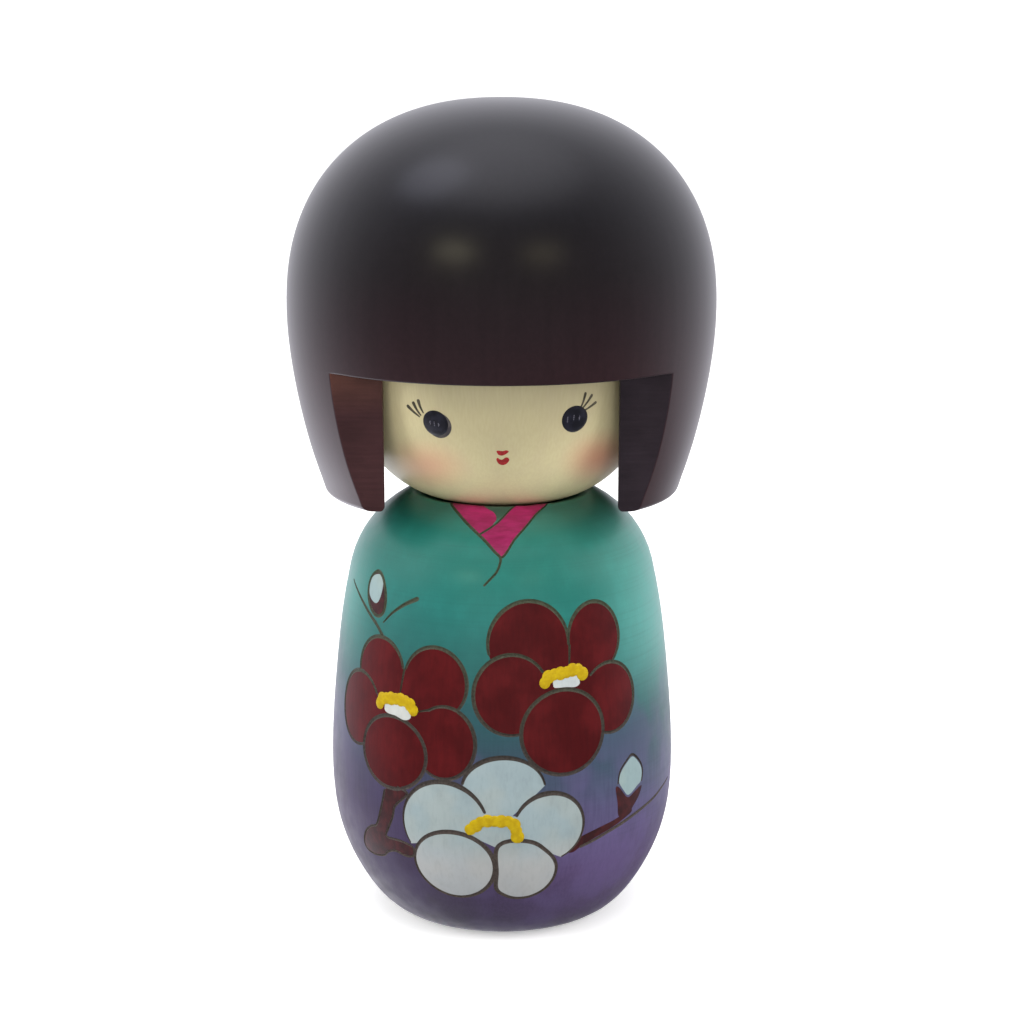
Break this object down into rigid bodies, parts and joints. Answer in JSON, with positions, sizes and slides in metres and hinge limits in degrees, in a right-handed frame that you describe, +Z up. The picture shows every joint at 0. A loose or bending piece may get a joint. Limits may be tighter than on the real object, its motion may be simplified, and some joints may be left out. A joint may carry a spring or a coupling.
{
  "type": "kokeshi doll",
  "caption": "Turned wooden doll: a tapering barrel body, a round face ball in a bob-cut hair hood, and a head that turns on a neck dowel.",
  "frame": {"origin": "centre of the flat base, on the table plane", "axes": "+Z up along the doll's turning axis, face looking along -Y, +X towards the doll's left hand side (the viewer's right)"},
  "size_m": [0.0786, 0.0786, 0.152],
  "materials": {
    "body_wood": "satin clear lacquer over a stain that shades from teal at the neck through blue-grey to purple at the base",
    "face_wood": "satin clear lacquer on pale straight-grained wood with sprayed pink cheeks",
    "hair_wood": "smooth satin lacquer over near-black stain, with the grain showing brown on the sawn window",
    "dowel_wood": "bare turned hardwood"
  },
  "bodies": {
    "torso": {"body": "body_wood"},
    "head": {"face_ball": "face_wood", "hair_hood": "hair_wood", "neck_dowel": "dowel_wood", "crown_dowel": "dowel_wood"}
  },
  "joints": [
    {"name": "head_turn", "type": "hinge", "parent": "torso", "child": "head", "pos_m": [0, 0, 0.0785], "axis": [0, 0, 1], "continuous": true}
  ]
}
